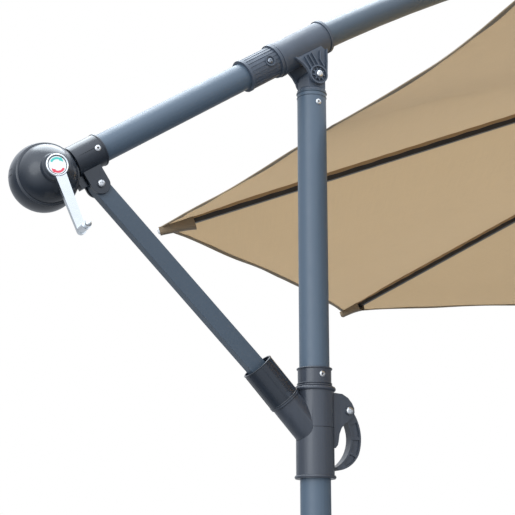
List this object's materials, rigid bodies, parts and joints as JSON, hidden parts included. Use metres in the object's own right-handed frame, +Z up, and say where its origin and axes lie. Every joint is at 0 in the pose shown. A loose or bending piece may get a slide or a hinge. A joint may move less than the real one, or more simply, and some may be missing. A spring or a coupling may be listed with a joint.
{
  "type": "cantilever parasol",
  "caption": "Cantilever parasol: a tilting boom braced from a sliding clamp on its mast, with a crank in its tail that folds a ribbed canopy, on a slab-weighted cross base.",
  "frame": {"origin": "on the ground under the mast's axis, at the middle of the crossing beams' undersides", "axes": "+Z up along the mast, +X from the mast towards the canopy, Y across, mirror plane XZ apart from the crank"},
  "size_m": [3.7559, 3.273, 2.7527],
  "materials": {
    "frame_paint": "satin powder coat",
    "grey_plastic": "semi-gloss",
    "rib_black": "satin",
    "canopy_cloth": "woven polyester",
    "bright_steel": "polished",
    "chrome": "bright",
    "dial_white": "gloss",
    "concrete": "rough",
    "cord": "braided"
  },
  "bodies": {
    "base": {"cross_beams": "frame_paint", "beam_end_caps": "grey_plastic", "ballast_slabs": "concrete", "mast_socket": "frame_paint", "base_bolts": "bright_steel", "mast_tube": "frame_paint", "mast_head": "grey_plastic", "stop_collar": "grey_plastic", "mast_rivets": "bright_steel"},
    "boom": {"boom_tube": "frame_paint", "tee_bracket": "grey_plastic", "fluted_collar": "grey_plastic", "collar_button": "bright_steel", "housing_front": "grey_plastic", "housing_rear": "grey_plastic", "housing_sleeve": "grey_plastic", "clevis_bolt": "bright_steel", "boom_rivets": "bright_steel", "pivot_bolt": "bright_steel", "hub_bracket": "grey_plastic", "crown_hub": "grey_plastic", "lift_cord": "cord"},
    "slider": {"slider_body": "grey_plastic", "slider_skirt": "grey_plastic", "branch_cup": "grey_plastic", "strut_pin": "bright_steel", "lever_bolt": "bright_steel", "clamp_spring": "bright_steel"},
    "lever": {"release_lever": "grey_plastic"},
    "shoe": {"clamp_shoe": "grey_plastic"},
    "brace": {"brace_strut": "frame_paint"},
    "crank": {"cord_drum": "bright_steel", "crank_arm": "chrome", "crank_dial": "dial_white"},
    "grip": {"crank_grip": "chrome"},
    "runner": {"runner_hub": "grey_plastic"},
    "rib_1": {"rib_1": "rib_black", "canopy_1": "canopy_cloth"},
    "stretcher_1": {"stretcher_1": "rib_black"},
    "rib_2": {"rib_2": "rib_black", "canopy_2": "canopy_cloth"},
    "stretcher_2": {"stretcher_2": "rib_black"},
    "rib_3": {"rib_3": "rib_black", "canopy_3": "canopy_cloth"},
    "stretcher_3": {"stretcher_3": "rib_black"},
    "rib_4": {"rib_4": "rib_black", "canopy_4": "canopy_cloth"},
    "stretcher_4": {"stretcher_4": "rib_black"},
    "rib_5": {"rib_5": "rib_black", "canopy_5": "canopy_cloth"},
    "stretcher_5": {"stretcher_5": "rib_black"},
    "rib_6": {"rib_6": "rib_black", "canopy_6": "canopy_cloth"},
    "stretcher_6": {"stretcher_6": "rib_black"},
    "rib_7": {"rib_7": "rib_black", "canopy_7": "canopy_cloth"},
    "stretcher_7": {"stretcher_7": "rib_black"},
    "rib_8": {"rib_8": "rib_black", "canopy_8": "canopy_cloth"},
    "stretcher_8": {"stretcher_8": "rib_black"}
  },
  "joints": [
    {"name": "boom_tilt", "type": "hinge", "parent": "base", "child": "boom", "pos_m": [0, 0, 2.143], "axis": [0, -1, 0], "range_deg": [0, 10]},
    {"name": "slider_travel", "type": "slide", "parent": "base", "child": "slider", "axis": [0, 0, -1], "range_m": [0, 0.1012]},
    {"name": "brace_swing", "type": "hinge", "parent": "boom", "child": "brace", "pos_m": [-0.366, 0, 1.91], "axis": [0, -1, 0], "range_deg": [-18.3, 0]},
    {"name": "lever_pull", "type": "hinge", "parent": "slider", "child": "lever", "pos_m": [0.053, 0, 1.59], "axis": [0, -1, 0], "range_deg": [0, 18], "stiffness_Nm_per_rad": 0.8, "springref_deg": -34.38},
    {"name": "shoe_release", "type": "slide", "parent": "slider", "child": "shoe", "axis": [1, 0, 0], "range_m": [0, 0.0016], "deforming": ["clamp_spring"]},
    {"name": "crank_turn", "type": "hinge", "parent": "boom", "child": "crank", "pos_m": [-0.45035, 0, 1.91207], "axis": [0, 1, 0], "continuous": true},
    {"name": "grip_spin", "type": "hinge", "parent": "crank", "child": "grip", "pos_m": [-0.41088, 0, 1.82128], "axis": [0, 1, 0], "continuous": true},
    {"name": "canopy_fold", "type": "hinge", "parent": "boom", "child": "rib_1", "pos_m": [1.62207, 0.01722, 2.61945], "axis": [-0.3812, 0.9239, -0.0334], "range_deg": [0, 70], "deforming": ["canopy_1"]},
    {"name": "stretcher_fold_1", "type": "hinge", "parent": "rib_1", "child": "stretcher_1", "pos_m": [2.41423, 0.33827, 2.45809], "axis": [-0.3812, 0.9239, -0.0334], "range_deg": [-140, 0]},
    {"name": "rib_fold_2", "type": "hinge", "parent": "boom", "child": "rib_2", "pos_m": [1.59781, 0.04158, 2.61733], "axis": [-0.9204, 0.3827, -0.0805], "range_deg": [0, 70], "deforming": ["canopy_2"]},
    {"name": "stretcher_fold_2", "type": "hinge", "parent": "rib_2", "child": "stretcher_2", "pos_m": [1.93766, 0.81666, 2.4164], "axis": [-0.9204, 0.3827, -0.0805], "range_deg": [-140, 0]},
    {"name": "rib_fold_3", "type": "hinge", "parent": "boom", "child": "rib_3", "pos_m": [1.5635, 0.04158, 2.61433], "axis": [-0.9204, -0.3827, -0.0805], "range_deg": [0, 70], "deforming": ["canopy_3"]},
    {"name": "stretcher_fold_3", "type": "hinge", "parent": "rib_3", "child": "stretcher_3", "pos_m": [1.2637, 0.81666, 2.35744], "axis": [-0.9204, -0.3827, -0.0805], "range_deg": [-140, 0]},
    {"name": "rib_fold_4", "type": "hinge", "parent": "boom", "child": "rib_4", "pos_m": [1.53924, 0.01722, 2.6122], "axis": [-0.3812, -0.9239, -0.0334], "range_deg": [0, 70], "deforming": ["canopy_4"]},
    {"name": "stretcher_fold_4", "type": "hinge", "parent": "rib_4", "child": "stretcher_4", "pos_m": [0.78713, 0.33827, 2.31574], "axis": [-0.3812, -0.9239, -0.0334], "range_deg": [-140, 0]},
    {"name": "rib_fold_5", "type": "hinge", "parent": "boom", "child": "rib_5", "pos_m": [1.53924, -0.01722, 2.6122], "axis": [0.3812, -0.9239, 0.0334], "range_deg": [0, 70], "deforming": ["canopy_5"]},
    {"name": "stretcher_fold_5", "type": "hinge", "parent": "rib_5", "child": "stretcher_5", "pos_m": [0.78713, -0.33827, 2.31574], "axis": [0.3812, -0.9239, 0.0334], "range_deg": [-140, 0]},
    {"name": "rib_fold_6", "type": "hinge", "parent": "boom", "child": "rib_6", "pos_m": [1.5635, -0.04158, 2.61433], "axis": [0.9204, -0.3827, 0.0805], "range_deg": [0, 70], "deforming": ["canopy_6"]},
    {"name": "stretcher_fold_6", "type": "hinge", "parent": "rib_6", "child": "stretcher_6", "pos_m": [1.2637, -0.81666, 2.35744], "axis": [0.9204, -0.3827, 0.0805], "range_deg": [-140, 0]},
    {"name": "rib_fold_7", "type": "hinge", "parent": "boom", "child": "rib_7", "pos_m": [1.59781, -0.04158, 2.61733], "axis": [0.9204, 0.3827, 0.0805], "range_deg": [0, 70], "deforming": ["canopy_7"]},
    {"name": "stretcher_fold_7", "type": "hinge", "parent": "rib_7", "child": "stretcher_7", "pos_m": [1.93766, -0.81666, 2.4164], "axis": [0.9204, 0.3827, 0.0805], "range_deg": [-140, 0]},
    {"name": "rib_fold_8", "type": "hinge", "parent": "boom", "child": "rib_8", "pos_m": [1.62207, -0.01722, 2.61945], "axis": [0.3812, 0.9239, 0.0334], "range_deg": [0, 70], "deforming": ["canopy_8"]},
    {"name": "stretcher_fold_8", "type": "hinge", "parent": "rib_8", "child": "stretcher_8", "pos_m": [2.41423, -0.33827, 2.45809], "axis": [0.3812, 0.9239, 0.0334], "range_deg": [-140, 0]},
    {"name": "runner_drop", "type": "slide", "parent": "boom", "child": "runner", "axis": [0.0872, 0, -0.9962], "range_m": [0, 1.2753]}
  ],
  "couplings": [
    {"joint": "slider_travel", "follows": "boom_tilt", "m_per_rad": 0.57717},
    {"joint": "brace_swing", "follows": "boom_tilt", "ratio": -1.8195},
    {"joint": "shoe_release", "follows": "lever_pull", "m_per_rad": 0.004775},
    {"joint": "stretcher_fold_1", "follows": "canopy_fold", "ratio": -2},
    {"joint": "rib_fold_2", "follows": "canopy_fold", "ratio": 1},
    {"joint": "stretcher_fold_2", "follows": "canopy_fold", "ratio": -2},
    {"joint": "rib_fold_3", "follows": "canopy_fold", "ratio": 1},
    {"joint": "stretcher_fold_3", "follows": "canopy_fold", "ratio": -2},
    {"joint": "rib_fold_4", "follows": "canopy_fold", "ratio": 1},
    {"joint": "stretcher_fold_4", "follows": "canopy_fold", "ratio": -2},
    {"joint": "rib_fold_5", "follows": "canopy_fold", "ratio": 1},
    {"joint": "stretcher_fold_5", "follows": "canopy_fold", "ratio": -2},
    {"joint": "rib_fold_6", "follows": "canopy_fold", "ratio": 1},
    {"joint": "stretcher_fold_6", "follows": "canopy_fold", "ratio": -2},
    {"joint": "rib_fold_7", "follows": "canopy_fold", "ratio": 1},
    {"joint": "stretcher_fold_7", "follows": "canopy_fold", "ratio": -2},
    {"joint": "rib_fold_8", "follows": "canopy_fold", "ratio": 1},
    {"joint": "stretcher_fold_8", "follows": "canopy_fold", "ratio": -2},
    {"joint": "runner_drop", "follows": "canopy_fold", "m_per_rad": 1.043}
  ]
}
